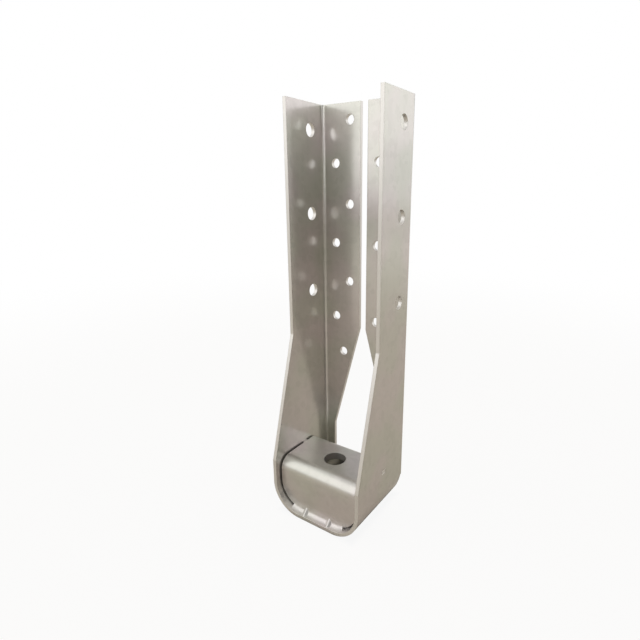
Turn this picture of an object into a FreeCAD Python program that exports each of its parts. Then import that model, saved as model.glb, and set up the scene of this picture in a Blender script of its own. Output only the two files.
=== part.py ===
import FreeCAD, Part
import math
import os

from FreeCAD import Vector

# Hold down bracket, folded from one steel sheet, in millimetres.
# X runs across the bracket, +Y points to its screwed back, +Z is up.
# The model is drawn with the outside of the back at Y = 0, and moved at the end
# so that the origin is under the middle of its box.

# Sheet and overall sizes
SHEET = 2.7
WIDTH = 76.2
HEIGHT = 296.0
DEPTH = 67.0

# Side walls: the front edge slopes in from the full depth to the upper depth
WALL_DEPTH = 42.3
TAPER_TOP_Z = 134.5
TAPER_FOOT_Z = 41.0
FLOOR_BEND_IN = 20.3
FLOOR_BACK = 7.2
RELIEF_Z = 22.0
RELIEF_SLOPE = 6.5

# Back flanges, folded in from the walls and parted by a slit that opens downwards
FLANGE_BEND_IN = 2.3
SLIT = 5.9
STUB_GAP = 53.4
STUB_TOP_Z = 47.0

# Seat: a tongue lanced out of the floor, folded up, back over and down again
SEAT_TOP = 41.275
LIP = 4.9
SEAT_LENGTH = 43.9
SEAT_GAP = 1.2
FOOT_BEND_IN = 4.0
FRONT_BEND_IN = 6.5
REAR_BEND_IN = 3.8
SLIT_END_ANGLE = 23.5
LEG_WIDTH = 48.0
WINDOW_WIDTH = 64.0
WINDOW_FRONT = 57.0
WINDOW_ROUND = 9.0

# Anchor hole with a drawn collar
ANCHOR_HOLE = 16.7
ANCHOR_BACK = 39.9
COLLAR_DEPTH = 5.6
COLLAR_WALL = 2.0

# Small tongues on the seat's sides, each in a slot in its wall
NIB_WIDTH = 4.2
NIB_BACK = 32.3
NIB_RECESS = 0.1
NIB_CLEARANCE = 0.15

# Darts pressed across the seat's foot
DART_SPACING = 21.2
DART_LENGTH = 6.8
DART_RISE = 1.8
DART_CREST = 1.0
DART_SLOPE_ANGLE = 39.0

# Screw holes in the back flanges: two zigzag columns and one lower hole a side
FLANGE_HOLE = 6.8
FLANGE_HOLE_TOP = 11.1
FLANGE_HOLE_PITCH = 28.575
FLANGE_ROWS = 6
INNER_COLUMN = 11.8
OUTER_COLUMN = 24.1
LOWER_COLUMN = 17.4

# Larger holes in the side walls
WALL_HOLE = 9.5
WALL_HOLE_TOP = 17.9
WALL_HOLE_PITCH = 57.15
WALL_HOLE_BACK = 17.2
WALL_HOLES = 3

# Cuts run this far past what they cut, and points nearer than this are one
OVERCUT = 1.0
SAME_POINT = 1e-6

# Worked-out places
HALF = WIDTH / 2
INSIDE = HALF - SHEET
FLOOR_BEND_OUT = FLOOR_BEND_IN + SHEET
FLANGE_BEND_OUT = FLANGE_BEND_IN + SHEET
BEND_AXIS_X = HALF - FLOOR_BEND_OUT
SEAT_HALF = INSIDE - SEAT_GAP
SEAT_FRONT_Y = LIP - DEPTH
SEAT_BACK_Y = SEAT_FRONT_Y + SEAT_LENGTH
SEAT_UNDERSIDE = SEAT_TOP - SHEET
FOOT_TOP = SHEET + FOOT_BEND_IN
SLIT_END = math.radians(SLIT_END_ANGLE)
DART_SLOPE = math.radians(DART_SLOPE_ANGLE)


def in_front_view(x, z):
    return Vector(x, 0, z)


def in_side_view(y, z):
    return Vector(0, y, z)


def in_plan(x, y):
    return Vector(x, y, 0)


def rounded_face(corners, place):
    """A flat face whose outline turns at the corners (a, b, radius), each rounded by an arc."""
    points = [place(a, b) for a, b, radius in corners]
    starts = []
    ends = []
    middles = []
    for i, (a, b, radius) in enumerate(corners):
        here = points[i]
        before = (points[i - 1] - here).normalize()
        after = (points[(i + 1) % len(points)] - here).normalize()
        half_angle = before.getAngle(after) / 2
        reach = radius / math.tan(half_angle)
        bisector = (before + after).normalize()
        starts.append(here + before * reach)
        ends.append(here + after * reach)
        middles.append(here + bisector * (radius / math.sin(half_angle) - radius))
    edges = []
    for i in range(len(points)):
        next_start = starts[(i + 1) % len(points)]
        if corners[i][2] > 0:
            edges.append(Part.Arc(starts[i], middles[i], ends[i]).toShape())
        if ends[i].distanceToPoint(next_start) > SAME_POINT:
            edges.append(Part.LineSegment(ends[i], next_start).toShape())
    return Part.Face(Part.Wire(edges))


def both_sides(solid):
    """The solid and its mirror image in the bracket's middle plane."""
    return [solid, solid.mirror(Vector(0, 0, 0), Vector(1, 0, 0))]


def channel():
    """The floor and both walls, as one U section with large floor bends."""
    section = rounded_face(
        [
            (-HALF, HEIGHT, 0),
            (-HALF, 0, FLOOR_BEND_OUT),
            (HALF, 0, FLOOR_BEND_OUT),
            (HALF, HEIGHT, 0),
            (INSIDE, HEIGHT, 0),
            (INSIDE, SHEET, FLOOR_BEND_IN),
            (-INSIDE, SHEET, FLOOR_BEND_IN),
            (-INSIDE, HEIGHT, 0),
        ],
        in_front_view,
    )
    return section.extrude(Vector(0, -DEPTH, 0))


def side_outline():
    """The side view of the walls: sloping front edge, and a back edge stepped for the flanges."""
    outline = rounded_face(
        [
            (-DEPTH, 0, 0),
            (-DEPTH, TAPER_FOOT_Z, 0),
            (-WALL_DEPTH, TAPER_TOP_Z, 0),
            (-WALL_DEPTH, HEIGHT, 0),
            (-FLANGE_BEND_OUT, HEIGHT, 0),
            (-FLANGE_BEND_OUT, RELIEF_Z, 0),
            (-FLOOR_BACK, RELIEF_Z - RELIEF_SLOPE, 0),
            (-FLOOR_BACK, 0, 0),
        ],
        in_side_view,
    )
    outline.translate(Vector(-HALF - OVERCUT, 0, 0))
    return outline.extrude(Vector(WIDTH + 2 * OVERCUT, 0, 0))


def lanced_window():
    """What the lanced tongue leaves open: the floor behind the foot, out to the floor bends."""
    reach = FLOOR_BEND_OUT + OVERCUT
    wedge_x = BEND_AXIS_X + reach * math.tan(SLIT_END)
    wedge = rounded_face(
        [
            (-BEND_AXIS_X, FLOOR_BEND_OUT, 0),
            (-wedge_x, FLOOR_BEND_OUT - reach, 0),
            (wedge_x, FLOOR_BEND_OUT - reach, 0),
            (BEND_AXIS_X, FLOOR_BEND_OUT, 0),
        ],
        in_front_view,
    )
    wedge.translate(Vector(0, OVERCUT, 0))
    middle = wedge.extrude(Vector(0, -DEPTH - 2 * OVERCUT, 0))
    side = WINDOW_WIDTH / 2
    plan = rounded_face(
        [
            (-side, -WINDOW_FRONT, WINDOW_ROUND),
            (side, -WINDOW_FRONT, WINDOW_ROUND),
            (side, OVERCUT, 0),
            (-side, OVERCUT, 0),
        ],
        in_plan,
    )
    plan.translate(Vector(0, 0, -OVERCUT))
    rear = plan.extrude(Vector(0, 0, FLOOR_BEND_OUT + OVERCUT))
    return middle.fuse(rear)


def flange():
    """The right back flange: a tight bend from the wall, then a plate cut to a taper."""
    section = rounded_face(
        [
            (HALF, -FLANGE_BEND_OUT, 0),
            (HALF, 0, FLANGE_BEND_OUT),
            (SLIT / 2, 0, 0),
            (SLIT / 2, -SHEET, 0),
            (INSIDE, -SHEET, FLANGE_BEND_IN),
            (INSIDE, -FLANGE_BEND_OUT, 0),
        ],
        in_plan,
    )
    section.translate(Vector(0, 0, RELIEF_Z))
    strip = section.extrude(Vector(0, 0, HEIGHT - RELIEF_Z))
    outline = rounded_face(
        [
            (SLIT / 2, HEIGHT, 0),
            (SLIT / 2, TAPER_TOP_Z, 0),
            (STUB_GAP / 2, STUB_TOP_Z, 0),
            (STUB_GAP / 2, RELIEF_Z, 0),
            (HALF, RELIEF_Z, 0),
            (HALF, HEIGHT, 0),
        ],
        in_front_view,
    )
    outline.translate(Vector(0, OVERCUT, 0))
    return strip.common(outline.extrude(Vector(0, -FLANGE_BEND_OUT - 2 * OVERCUT, 0)))


def seat_strip():
    """The tongue as a folded strip: up from the lip, back over the top and down as a leg."""
    inner_front = SEAT_FRONT_Y + SHEET
    inner_back = SEAT_BACK_Y - SHEET
    section = rounded_face(
        [
            (-DEPTH, 0, 0),
            (inner_front, 0, FOOT_BEND_IN + SHEET),
            (inner_front, SEAT_UNDERSIDE, FRONT_BEND_IN),
            (inner_back, SEAT_UNDERSIDE, REAR_BEND_IN),
            (inner_back, 0, 0),
            (SEAT_BACK_Y, 0, 0),
            (SEAT_BACK_Y, SEAT_TOP, REAR_BEND_IN + SHEET),
            (SEAT_FRONT_Y, SEAT_TOP, FRONT_BEND_IN + SHEET),
            (SEAT_FRONT_Y, SHEET, FOOT_BEND_IN),
            (-DEPTH, SHEET, 0),
        ],
        in_side_view,
    )
    section.translate(Vector(-SEAT_HALF, 0, 0))
    return section.extrude(Vector(2 * SEAT_HALF, 0, 0))


def seat_outline():
    """The front view of the tongue above its foot: it clears the walls and the floor bends."""
    outline = rounded_face(
        [
            (-SEAT_HALF, SEAT_TOP, 0),
            (-SEAT_HALF, SHEET + SEAT_GAP, FLOOR_BEND_IN - SEAT_GAP),
            (SEAT_HALF, SHEET + SEAT_GAP, FLOOR_BEND_IN - SEAT_GAP),
            (SEAT_HALF, SEAT_TOP, 0),
        ],
        in_front_view,
    )
    outline.translate(Vector(0, SEAT_BACK_Y, 0))
    body = outline.extrude(Vector(0, -SEAT_LENGTH, 0))
    leg = Part.makeBox(
        LEG_WIDTH,
        SHEET,
        FLOOR_BEND_OUT,
        Vector(-LEG_WIDTH / 2, SEAT_BACK_Y - SHEET, 0),
    )
    return body.fuse(leg)


def foot():
    """The seat's foot: the lip and its bend, straight in the middle and turned up the floor bends."""
    section = rounded_face(
        [
            (-DEPTH, 0, 0),
            (SEAT_FRONT_Y + SHEET, 0, FOOT_BEND_IN + SHEET),
            (SEAT_FRONT_Y + SHEET, FOOT_TOP, 0),
            (SEAT_FRONT_Y, FOOT_TOP, 0),
            (SEAT_FRONT_Y, SHEET, FOOT_BEND_IN),
            (-DEPTH, SHEET, 0),
        ],
        in_side_view,
    )
    section.translate(Vector(BEND_AXIS_X, 0, 0))
    straight = section.extrude(Vector(-2 * BEND_AXIS_X, 0, 0))
    axis_point = Vector(BEND_AXIS_X, 0, FLOOR_BEND_OUT)
    turned = section.revolve(axis_point, Vector(0, -1, 0), SLIT_END_ANGLE)
    return [straight] + both_sides(turned)


def dart_wedge(drop, length, depth):
    """A wedge with a round crest across the foot's bend at 45 degrees, set back by drop."""
    half_width = depth / math.tan(DART_SLOPE)
    section = rounded_face(
        [(-half_width, -depth, 0), (half_width, -depth, 0), (0, 0, DART_CREST)],
        in_front_view,
    )
    wedge = section.extrude(Vector(0, length, 0))
    wedge.translate(Vector(0, -length / 2, 0))
    wedge.rotate(Vector(), Vector(1, 0, 0), 45)
    into_sheet = Vector(0, 1, -1).normalize()
    crest = Vector(DART_SPACING / 2, SEAT_FRONT_Y - FOOT_BEND_IN, FOOT_TOP)
    crest += into_sheet * (FOOT_BEND_IN - DART_RISE + drop)
    wedge.translate(crest)
    return wedge


def add_darts(body):
    """Each dart stands up inside the foot's bend and leaves a dent outside it."""
    ridge = dart_wedge(0, DART_LENGTH, DART_RISE + SHEET / 2)
    dent = dart_wedge(SHEET, DART_LENGTH + 2 * SHEET, 2 * SHEET)
    return body.fuse(both_sides(ridge)).cut(both_sides(dent))


def anchor_collar():
    """The ring of sheet drawn down round the anchor hole."""
    return Part.makeCylinder(
        ANCHOR_HOLE / 2 + COLLAR_WALL,
        COLLAR_DEPTH,
        Vector(0, -ANCHOR_BACK, SEAT_TOP - COLLAR_DEPTH),
    )


def anchor_bore():
    return Part.makeCylinder(
        ANCHOR_HOLE / 2,
        COLLAR_DEPTH + 2 * OVERCUT,
        Vector(0, -ANCHOR_BACK, SEAT_TOP - COLLAR_DEPTH - OVERCUT),
    )


def nib():
    length = HALF - NIB_RECESS - SEAT_HALF + OVERCUT
    corner = Vector(SEAT_HALF - OVERCUT, -NIB_BACK - NIB_WIDTH / 2, SEAT_UNDERSIDE)
    return Part.makeBox(length, NIB_WIDTH, SHEET, corner)


def nib_slot():
    """The slot in the wall that a nib stands in, with clearance all round."""
    corner = Vector(
        INSIDE - OVERCUT / 2,
        -NIB_BACK - NIB_WIDTH / 2 - NIB_CLEARANCE,
        SEAT_UNDERSIDE - NIB_CLEARANCE,
    )
    return Part.makeBox(
        SHEET + OVERCUT,
        NIB_WIDTH + 2 * NIB_CLEARANCE,
        SHEET + 2 * NIB_CLEARANCE,
        corner,
    )


def flange_hole(x, z):
    length = SHEET + 2 * OVERCUT
    return Part.makeCylinder(FLANGE_HOLE / 2, length, Vector(x, OVERCUT, z), Vector(0, -1, 0))


def flange_holes():
    """Rows that alternate between the columns, the left flange one step behind the right."""
    holes = []
    for row in range(FLANGE_ROWS):
        z = HEIGHT - FLANGE_HOLE_TOP - row * FLANGE_HOLE_PITCH
        left = INNER_COLUMN if row % 2 == 0 else OUTER_COLUMN
        right = OUTER_COLUMN if row % 2 == 0 else INNER_COLUMN
        holes.append(flange_hole(-left, z))
        holes.append(flange_hole(right, z))
    lower_z = HEIGHT - FLANGE_HOLE_TOP - FLANGE_ROWS * FLANGE_HOLE_PITCH
    holes.append(flange_hole(-LOWER_COLUMN, lower_z))
    holes.append(flange_hole(LOWER_COLUMN, lower_z))
    return holes


def wall_holes():
    holes = []
    for row in range(WALL_HOLES):
        z = HEIGHT - WALL_HOLE_TOP - row * WALL_HOLE_PITCH
        start = Vector(-HALF - OVERCUT, -WALL_HOLE_BACK, z)
        holes.append(Part.makeCylinder(WALL_HOLE / 2, WIDTH + 2 * OVERCUT, start, Vector(1, 0, 0)))
    return holes


def bracket():
    walls = channel().common(side_outline()).cut(lanced_window())
    seat = seat_strip().common(seat_outline())
    body = walls.fuse(both_sides(flange()) + [seat] + foot())
    body = add_darts(body.removeSplitter())
    body = body.fuse(anchor_collar())
    body = body.cut([anchor_bore()] + both_sides(nib_slot()))
    body = body.fuse(both_sides(nib()))
    body = body.cut(flange_holes() + wall_holes())
    solid = body.removeSplitter().Solids[0]
    solid.translate(Vector(0, DEPTH / 2, 0))
    return solid


def main():
    os.makedirs("parts", exist_ok=True)
    solid = bracket()
    print("valid", solid.isValid(), "faces", len(solid.Faces), "volume", round(solid.Volume, 1))
    print("centre of mass", solid.CenterOfMass)
    print("box", solid.BoundBox)
    solid.exportStep("parts/hold_down_bracket.step")


main()
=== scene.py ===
import math

import bpy
from mathutils import Matrix, Vector
from mathutils.bvhtree import BVHTree


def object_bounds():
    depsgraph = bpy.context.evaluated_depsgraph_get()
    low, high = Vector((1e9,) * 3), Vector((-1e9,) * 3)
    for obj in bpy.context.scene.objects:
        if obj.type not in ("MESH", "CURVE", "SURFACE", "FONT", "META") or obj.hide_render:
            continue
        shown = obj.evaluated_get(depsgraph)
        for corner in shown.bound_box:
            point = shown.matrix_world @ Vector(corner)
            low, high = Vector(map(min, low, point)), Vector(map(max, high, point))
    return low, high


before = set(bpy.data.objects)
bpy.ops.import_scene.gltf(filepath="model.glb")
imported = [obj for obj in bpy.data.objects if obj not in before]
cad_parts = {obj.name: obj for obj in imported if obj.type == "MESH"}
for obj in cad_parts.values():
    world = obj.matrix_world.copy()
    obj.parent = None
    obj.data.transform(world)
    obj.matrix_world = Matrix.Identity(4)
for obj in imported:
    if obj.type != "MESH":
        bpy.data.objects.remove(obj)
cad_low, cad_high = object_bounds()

# A hold down bracket, folded from one galvanised steel sheet, on a table in a white room.
# Lengths are in metres. X runs across the bracket, its front is at low Y, and it stands on Z = 0.
MM = 0.001

# The sheet, and the slit between the seat and each wall
SHEET = 2.7 * MM
SEAT_SLIT = 1.2 * MM

# Where the zinc is dull: along the front of the foot, fading out between two heights, and over the
# seat's front bend and top, fading in between two heights. The seat's zone ends within the slits.
FOOT_BACK = cad_low[1] + 5.5 * MM
FOOT_FADE_OUT = (5 * MM, 13 * MM)
ZONE_MARGIN = 0.1 * MM
SEAT_HALF_WIDTH = cad_high[0] - SHEET - SEAT_SLIT + ZONE_MARGIN
SEAT_BACK = cad_high[1] - 8.5 * MM
SEAT_FADE_IN = (24 * MM, 36 * MM)
SEAT_DULLNESS = 0.6

# The real size of what shows on the zinc. The rolling lines are 25 times as long as they are apart.
ROLLING_LINES = 2.5 * MM
LINE_STRETCH = 25
ZINC_CRYSTALS = 4.0 * MM
RINSE_CLOUDS = 40.0 * MM
SKIN_GRAINS = 0.9 * MM
SKIN_HEIGHT = 0.004 * MM

# How much lighter or darker the lines and crystals make the zinc, and what their two noises add
# up to at its darkest and lightest
SHADE = 0.035
SHADE_SPAN = (0.2, 1.3)

# The middle part of the clouds' noise, over which one cast turns to the other
CLOUD_SPAN = (0.38, 0.62)

# The shear's marks are too fine to show at their real size, so they are drawn coarser.
SHEAR_MARKS = 0.5 * MM
DRAWN_COARSER = 2

# The rounding with which corners catch the light
FACE_ROUNDING = 0.35 * MM
EDGE_ROUNDING = 0.5 * MM
ROUNDING_SAMPLES = 6

# A face is a cut edge if the steel behind it is deeper than this, as measured from just inside it.
EDGE_DEPTH = 1.3 * SHEET
JUST_INSIDE = 0.05 * MM

# The photograph's camera, fitted to the bracket: its place, its angles in radians, and its lens
# and centre in pixels of the 640-pixel frame
EYE = Vector((176.96, -252.32, 238.29)) * MM
EYE_YAW = 0.582336
EYE_PITCH = -0.273778
EYE_ROLL = -0.003389
FOCAL_PX = 454.041
CENTRE_PX = (352.010, 316.615)
FRAME_PX = 640
SENSOR_MM = 36.0
NEAREST_SEEN = 0.01
FURTHEST_SEEN = 50

# The table: its reach each way, and how far its top lies under the foot so that they don't touch
TABLE_REACH = 6.0
TABLE_DROP = 0.4 * MM

# The distances from the bracket over which the table turns paler all round, as its painted shade
# fades, and darker towards its front with painted shade, and the soft edge of the painted shadow
# under the bracket, a dark patch where there is only shade
NEAR_PAINTED_SHADE_FADE = (0.4, 1.6)
FRONT_PAINTED_SHADE_FADE = (0.4, 1.4)
TABLE_FRONT_AZIMUTH = -60
PAINTED_SHADOW_EDGE = (31 * MM, 36 * MM)

# The camera's white ground: how white it is near the bracket, where a little of the table shows
# the real shadow and the painted shade, and the distances over which it turns fully white
WHITE_NEAR = 0.92
FULLY_WHITE = (0.25, 1.2)

# The white walls' strength as they light matt things, where 1 is white. Metal mirrors them at 1.
ROOM_LEVEL = 0.85

# Parts of the white walls that stay darker: azimuth and elevation, the angles from there at
# which the grey starts and is full, and the grey
DARK_PATCHES = [
    ((105, 25), 28, 16, 0.42),
    ((-37, 25), 23, 12, 0.05),
    ((-53, 0), 14, 6, 0.15),
]

# What the softboxes face, about the middle of the bracket's height
LIGHT_AIM = Vector((0, 0, 0.15))


def linear(code):
    """An sRGB hex colour as linear RGBA."""
    parts = [int(code[i:i + 2], 16) / 255 for i in (1, 3, 5)]
    return [c / 12.92 if c <= 0.04045 else ((c + 0.055) / 1.055) ** 2.4 for c in parts] + [1.0]


WHITE = linear("#ffffff")


def direction(azimuth, elevation):
    """The unit vector towards an azimuth from +X and an elevation, in degrees."""
    turn, rise = math.radians(azimuth), math.radians(elevation)
    across = math.cos(rise)
    return Vector((math.cos(turn) * across, math.sin(turn) * across, math.sin(rise)))


def node(tree, kind, settings=None, links=None):
    """Adds a node. Settings are its options and inputs, and links feed its inputs.

    Inputs go by their name or number.
    """
    made = tree.nodes.new(kind)
    for name, value in (settings or {}).items():
        if isinstance(name, str) and name not in made.inputs:
            setattr(made, name, value)
        else:
            made.inputs[name].default_value = value
    for name, source in (links or {}).items():
        tree.links.new(source, made.inputs[name])
    return made


def new_material(name):
    """An empty material and its node tree."""
    material = bpy.data.materials.new(name)
    material.use_nodes = True
    material.node_tree.nodes.clear()
    return material, material.node_tree


# Materials of the bracket

def satin_metal(tree, colour, normal, fine, coarse, share):
    """One metal surface with a fine and a coarse roughness, share being the coarse part."""
    mirror = node(tree, "ShaderNodeBsdfPrincipled", {"Metallic": 1.0, "Roughness": fine}, {
        "Base Color": colour, "Normal": normal,
    })
    haze = node(tree, "ShaderNodeBsdfPrincipled", {"Metallic": 1.0, "Roughness": coarse}, {
        "Base Color": colour, "Normal": normal,
    })
    both = node(tree, "ShaderNodeMixShader", {"Fac": share}, {
        1: mirror.outputs["BSDF"], 2: haze.outputs["BSDF"],
    })
    return both.outputs["Shader"]


def zinc_colour(tree, place):
    """The grey of the zinc, with rolling lines, crystals and faint casts."""
    # The mill's rollers leave brighter and duller lines up the sheet.
    upwards = node(tree, "ShaderNodeVectorMath", {
        "operation": "MULTIPLY", 1: (1.0, 1.0, 1 / LINE_STRETCH),
    }, {0: place})
    lines = node(tree, "ShaderNodeTexNoise", {
        "Scale": 1 / ROLLING_LINES, "Detail": 3.0, "Roughness": 0.6,
    }, {"Vector": upwards.outputs["Vector"]})

    # The zinc froze in small crystals, each a little lighter or darker.
    crystals = node(tree, "ShaderNodeTexVoronoi", {"Scale": 1 / ZINC_CRYSTALS}, {"Vector": place})
    crystal = node(tree, "ShaderNodeSeparateXYZ", None, {"Vector": crystals.outputs["Color"]})
    grain = node(tree, "ShaderNodeMath", {"operation": "ADD"}, {
        0: lines.outputs["Fac"], 1: crystal.outputs["X"],
    })
    shade = node(tree, "ShaderNodeMapRange", {
        "interpolation_type": "SMOOTHSTEP",
        "From Min": SHADE_SPAN[0], "From Max": SHADE_SPAN[1],
        "To Min": 1 - SHADE, "To Max": 1 + SHADE,
    }, {"Value": grain.outputs["Value"]})

    # The rinse after the bath leaves green and pink casts, in clouds.
    clouds = node(tree, "ShaderNodeTexNoise", {
        "Scale": 1 / RINSE_CLOUDS, "Detail": 1.0,
    }, {"Vector": place})
    cloud = node(tree, "ShaderNodeMapRange", {
        "interpolation_type": "SMOOTHSTEP",
        "From Min": CLOUD_SPAN[0], "From Max": CLOUD_SPAN[1],
    }, {"Value": clouds.outputs["Fac"]})
    cast = node(tree, "ShaderNodeMixRGB", {
        "Color1": linear("#cccbc3"), "Color2": linear("#d1cbc8"),
    }, {"Fac": cloud.outputs["Result"]})
    zinc = node(tree, "ShaderNodeMixRGB", {"blend_type": "MULTIPLY", "Fac": 1.0}, {
        "Color1": cast.outputs["Color"], "Color2": shade.outputs["Result"],
    })
    return zinc.outputs["Color"]


def dull_zones(tree, place):
    """How dull the zinc is, from 0 to 1. Folding crazed it along the foot and over the seat."""
    part = node(tree, "ShaderNodeSeparateXYZ", None, {"Vector": place})
    low = node(tree, "ShaderNodeMapRange", {
        "interpolation_type": "SMOOTHSTEP",
        "From Min": FOOT_FADE_OUT[0], "From Max": FOOT_FADE_OUT[1],
        "To Min": 1.0, "To Max": 0.0,
    }, {"Value": part.outputs["Z"]})
    front = node(tree, "ShaderNodeMath", {"operation": "LESS_THAN", 1: FOOT_BACK}, {
        0: part.outputs["Y"],
    })
    foot = node(tree, "ShaderNodeMath", {"operation": "MULTIPLY"}, {
        0: low.outputs["Result"], 1: front.outputs["Value"],
    })

    between = node(tree, "ShaderNodeMath", {
        "operation": "COMPARE", 1: 0.0, 2: SEAT_HALF_WIDTH,
    }, {0: part.outputs["X"]})
    ahead = node(tree, "ShaderNodeMath", {"operation": "LESS_THAN", 1: SEAT_BACK}, {
        0: part.outputs["Y"],
    })
    inside = node(tree, "ShaderNodeMath", {"operation": "MULTIPLY"}, {
        0: between.outputs["Value"], 1: ahead.outputs["Value"],
    })
    high = node(tree, "ShaderNodeMapRange", {
        "interpolation_type": "SMOOTHSTEP",
        "From Min": SEAT_FADE_IN[0], "From Max": SEAT_FADE_IN[1],
        "To Min": 0.0, "To Max": SEAT_DULLNESS,
    }, {"Value": part.outputs["Z"]})
    seat = node(tree, "ShaderNodeMath", {"operation": "MULTIPLY"}, {
        0: inside.outputs["Value"], 1: high.outputs["Result"],
    })
    dull = node(tree, "ShaderNodeMath", {"operation": "MAXIMUM"}, {
        0: foot.outputs["Value"], 1: seat.outputs["Value"],
    })
    return dull.outputs["Value"]


def galvanised_steel():
    """Hot-dip galvanised sheet: satin zinc that mirrors softly, and is matt where it was folded."""
    material, tree = new_material("galvanised_sheet_steel")
    place = node(tree, "ShaderNodeTexCoord").outputs["Object"]
    zinc = zinc_colour(tree, place)

    # A skin of fine grains breaks up the mirror image.
    skin = node(tree, "ShaderNodeTexNoise", {"Scale": 1 / SKIN_GRAINS, "Detail": 2.0}, {
        "Vector": place,
    })
    edge = node(tree, "ShaderNodeBevel", {"samples": ROUNDING_SAMPLES, "Radius": FACE_ROUNDING})
    bump = node(tree, "ShaderNodeBump", {"Distance": SKIN_HEIGHT}, {
        "Height": skin.outputs["Fac"], "Normal": edge.outputs["Normal"],
    })
    normal = bump.outputs["Normal"]
    satin = satin_metal(tree, zinc, normal, fine=0.18, coarse=0.55, share=0.42)
    matt = satin_metal(tree, zinc, normal, fine=0.34, coarse=0.7, share=0.4)
    mix = node(tree, "ShaderNodeMixShader", None, {
        "Fac": dull_zones(tree, place), 1: satin, 2: matt,
    })
    node(tree, "ShaderNodeOutputMaterial", None, {"Surface": mix.outputs["Shader"]})
    return material


def sheared_steel():
    """The sheet's cut edges: brighter than its faces, and matt with the marks of the shear."""
    material, tree = new_material("sheared_steel_edge")
    place = node(tree, "ShaderNodeTexCoord").outputs["Object"]
    marks = node(tree, "ShaderNodeTexNoise", {
        "Scale": 1 / (SHEAR_MARKS * DRAWN_COARSER), "Detail": 2.0,
    }, {"Vector": place})
    colour = node(tree, "ShaderNodeMixRGB", {
        "Color1": linear("#dad7d2"), "Color2": linear("#e0ddd8"),
    }, {"Fac": marks.outputs["Fac"]})
    edge = node(tree, "ShaderNodeBevel", {"samples": ROUNDING_SAMPLES, "Radius": EDGE_ROUNDING})
    matt = satin_metal(
        tree, colour.outputs["Color"], edge.outputs["Normal"], fine=0.3, coarse=0.6, share=0.5
    )
    node(tree, "ShaderNodeOutputMaterial", None, {"Surface": matt})
    return material


# The bracket

def mark_cut_edges(mesh, slot):
    """Gives the faces with more than the sheet's thickness behind them the material in slot."""
    solid = BVHTree.FromPolygons(
        [v.co for v in mesh.vertices], [f.vertices for f in mesh.polygons]
    )
    for face in mesh.polygons:
        halfway = [face.center.lerp(mesh.vertices[corner].co, 0.5) for corner in face.vertices]
        inward = -face.normal
        depths = [
            solid.ray_cast(spot + inward * JUST_INSIDE, inward)[3]
            for spot in [face.center] + halfway
        ]
        if all(depth is None or depth > EDGE_DEPTH for depth in depths):
            face.material_index = slot


def dress_bracket():
    """The folded sheet: zinc on its faces, and bare steel on its cut edges."""
    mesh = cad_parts["hold_down_bracket"].data
    mesh.materials.clear()
    mesh.materials.append(galvanised_steel())
    mesh.materials.append(sheared_steel())
    mark_cut_edges(mesh, slot=1)


# Camera, table and light

def make_camera():
    """The photograph's camera: its place, direction and lens."""
    away = Vector((
        -math.sin(EYE_YAW) * math.cos(EYE_PITCH),
        math.cos(EYE_YAW) * math.cos(EYE_PITCH),
        math.sin(EYE_PITCH),
    ))
    level = Vector((math.cos(EYE_YAW), math.sin(EYE_YAW), 0))
    down = away.cross(level)
    right = level * math.cos(EYE_ROLL) + down * math.sin(EYE_ROLL)
    up = -(down * math.cos(EYE_ROLL) - level * math.sin(EYE_ROLL))
    turn = Matrix((right, up, -away)).transposed().to_4x4()
    data = bpy.data.cameras.new("camera")
    data.sensor_width = SENSOR_MM
    data.lens = FOCAL_PX / FRAME_PX * SENSOR_MM
    data.shift_x = -(CENTRE_PX[0] - FRAME_PX / 2) / FRAME_PX
    data.shift_y = (CENTRE_PX[1] - FRAME_PX / 2) / FRAME_PX
    data.clip_start = NEAREST_SEEN
    data.clip_end = FURTHEST_SEEN
    camera = bpy.data.objects.new("camera", data)
    camera.matrix_world = Matrix.Translation(EYE) @ turn
    bpy.context.scene.collection.objects.link(camera)
    bpy.context.scene.camera = camera


def table_grey_with_painted_shade(tree, place, reach):
    """The table's greys, darker near the bracket and towards its front with painted shade, and a
    painted shadow under the bracket.
    """
    # Painted shade: the table is darker near the bracket and turns paler further out.
    outer = node(tree, "ShaderNodeMapRange", {
        "interpolation_type": "SMOOTHSTEP",
        "From Min": NEAR_PAINTED_SHADE_FADE[0], "From Max": NEAR_PAINTED_SHADE_FADE[1],
    }, {"Value": reach})
    sweep = node(tree, "ShaderNodeMixRGB", {
        "Color1": linear("#c9c1b4"), "Color2": linear("#ebe7e0"),
    }, {"Fac": outer.outputs["Result"]})

    # Painted shade: the table's front is darker, as if less light fell there. The insides of the
    # walls mirror it.
    forward = node(tree, "ShaderNodeVectorMath", {
        "operation": "DOT_PRODUCT", 1: direction(TABLE_FRONT_AZIMUTH, 0),
    }, {0: place})
    front = node(tree, "ShaderNodeMapRange", {
        "interpolation_type": "SMOOTHSTEP",
        "From Min": FRONT_PAINTED_SHADE_FADE[0], "From Max": FRONT_PAINTED_SHADE_FADE[1],
    }, {"Value": forward.outputs["Value"]})
    table = node(tree, "ShaderNodeMixRGB", {"Color2": linear("#7d7365")}, {
        "Fac": front.outputs["Result"], "Color1": sweep.outputs["Color"],
    })

    # Painted shadow: a dark patch of colour under the bracket, where there is only shade.
    # It keeps the hollow below the seat dark.
    sides = node(tree, "ShaderNodeVectorMath", {"operation": "ABSOLUTE"}, {0: place})
    side = node(tree, "ShaderNodeSeparateXYZ", None, {"Vector": sides.outputs["Vector"]})
    off = node(tree, "ShaderNodeMath", {"operation": "MAXIMUM"}, {
        0: side.outputs["X"], 1: side.outputs["Y"],
    })
    painted_shadow = node(tree, "ShaderNodeMapRange", {
        "From Min": PAINTED_SHADOW_EDGE[0], "From Max": PAINTED_SHADOW_EDGE[1], "To Min": 1.0, "To Max": 0.0,
    }, {"Value": off.outputs["Value"]})
    ground = node(tree, "ShaderNodeMixRGB", {"Color2": linear("#2a2825")}, {
        "Fac": painted_shadow.outputs["Result"], "Color1": table.outputs["Color"],
    })
    return ground.outputs["Color"]


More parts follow.
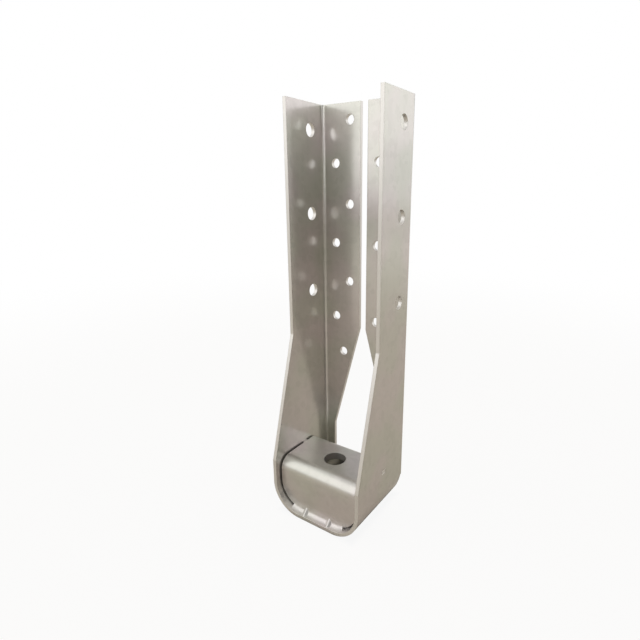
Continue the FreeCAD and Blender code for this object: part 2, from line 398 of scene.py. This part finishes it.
def laminate_table():
    """Matt grey laminate with painted shade and a painted shadow in its colour, which the camera
    sees as white ground with a faint shadow.
    """
    material, tree = new_material("matt_laminate_table")
    place = node(tree, "ShaderNodeNewGeometry").outputs["Position"]
    reach = node(tree, "ShaderNodeVectorMath", {"operation": "LENGTH"}, {0: place})
    top = node(tree, "ShaderNodeBsdfDiffuse", None, {
        "Color": table_grey_with_painted_shade(tree, place, reach.outputs["Value"]),
    })
    white = node(tree, "ShaderNodeEmission", {"Color": WHITE, "Strength": 1.0})
    far = node(tree, "ShaderNodeMapRange", {
        "interpolation_type": "SMOOTHSTEP",
        "From Min": FULLY_WHITE[0], "From Max": FULLY_WHITE[1],
        "To Min": WHITE_NEAR, "To Max": 1.0,
    }, {"Value": reach.outputs["Value"]})
    path = node(tree, "ShaderNodeLightPath")
    seen = node(tree, "ShaderNodeMath", {"operation": "MULTIPLY"}, {
        0: path.outputs["Is Camera Ray"], 1: far.outputs["Result"],
    })
    mix = node(tree, "ShaderNodeMixShader", None, {
        "Fac": seen.outputs["Value"], 1: top.outputs["BSDF"], 2: white.outputs["Emission"],
    })
    node(tree, "ShaderNodeOutputMaterial", None, {"Surface": mix.outputs["Shader"]})
    return material


def make_floor():
    """The table top, as one flat face."""
    corners = [(-1, -1), (1, -1), (1, 1), (-1, 1)]
    mesh = bpy.data.meshes.new("floor")
    mesh.from_pydata([Vector((x, y, 0)) * TABLE_REACH for x, y in corners], [], [(0, 1, 2, 3)])
    mesh.materials.append(laminate_table())
    floor = bpy.data.objects.new("floor", mesh)
    floor.location.z = -TABLE_DROP
    bpy.context.scene.collection.objects.link(floor)


def make_world():
    """White walls round the table, with the darker patches that the metal mirrors."""
    world = bpy.data.worlds.new("studio")
    world.use_nodes = True
    tree = world.node_tree
    tree.nodes.clear()
    way = node(tree, "ShaderNodeTexCoord").outputs["Generated"]
    patches_so_far = {}
    for towards, start, end, grey in DARK_PATCHES:
        along = node(tree, "ShaderNodeVectorMath", {
            "operation": "DOT_PRODUCT", 1: direction(*towards),
        }, {0: way})
        patch = node(tree, "ShaderNodeMapRange", {
            "interpolation_type": "SMOOTHSTEP",
            "From Min": math.cos(math.radians(start)), "From Max": math.cos(math.radians(end)),
            "To Min": 1.0, "To Max": grey,
        }, {"Value": along.outputs["Value"]})
        level = node(tree, "ShaderNodeMath", {"operation": "MULTIPLY", 0: 1.0}, {
            **patches_so_far, 1: patch.outputs["Result"],
        })
        patches_so_far = {0: level.outputs["Value"]}
    walls = node(tree, "ShaderNodeBackground", {"Color": WHITE}, {
        "Strength": level.outputs["Value"],
    })
    room = node(tree, "ShaderNodeBackground", {"Color": WHITE, "Strength": ROOM_LEVEL})
    white = node(tree, "ShaderNodeBackground", {"Color": WHITE, "Strength": 1.0})
    path = node(tree, "ShaderNodeLightPath")
    metal = node(tree, "ShaderNodeMixShader", None, {
        "Fac": path.outputs["Is Glossy Ray"],
        1: room.outputs["Background"], 2: walls.outputs["Background"],
    })
    mix = node(tree, "ShaderNodeMixShader", None, {
        "Fac": path.outputs["Is Camera Ray"],
        1: metal.outputs["Shader"], 2: white.outputs["Background"],
    })
    node(tree, "ShaderNodeOutputWorld", None, {"Surface": mix.outputs["Shader"]})
    bpy.context.scene.world = world


def softbox(name, azimuth, elevation, distance, size, glow):
    """A lit white panel that faces the bracket. glow is its brightness, where 1 is white."""
    way = direction(azimuth, elevation)
    data = bpy.data.lights.new(name, "AREA")
    data.shape = "RECTANGLE"
    data.size, data.size_y = size
    data.energy = glow * math.pi * size[0] * size[1]
    light = bpy.data.objects.new(name, data)
    light.location = LIGHT_AIM + way * distance
    light.rotation_euler = (-way).to_track_quat("-Z", "Y").to_euler()
    bpy.context.scene.collection.objects.link(light)


dress_bracket()
make_world()
make_floor()
softbox(
    "front_left_softbox", azimuth=-120, elevation=30, distance=2.0, size=(2.4, 2.0), glow=0.55
)
softbox(
    "back_right_softbox", azimuth=52, elevation=30, distance=2.0, size=(2.0, 1.6), glow=0.35
)
softbox(
    "camera_side_softbox", azimuth=-59, elevation=18, distance=2.1, size=(1.2, 0.6), glow=1.0
)
make_camera()
bpy.context.scene.view_settings.view_transform = "Standard"
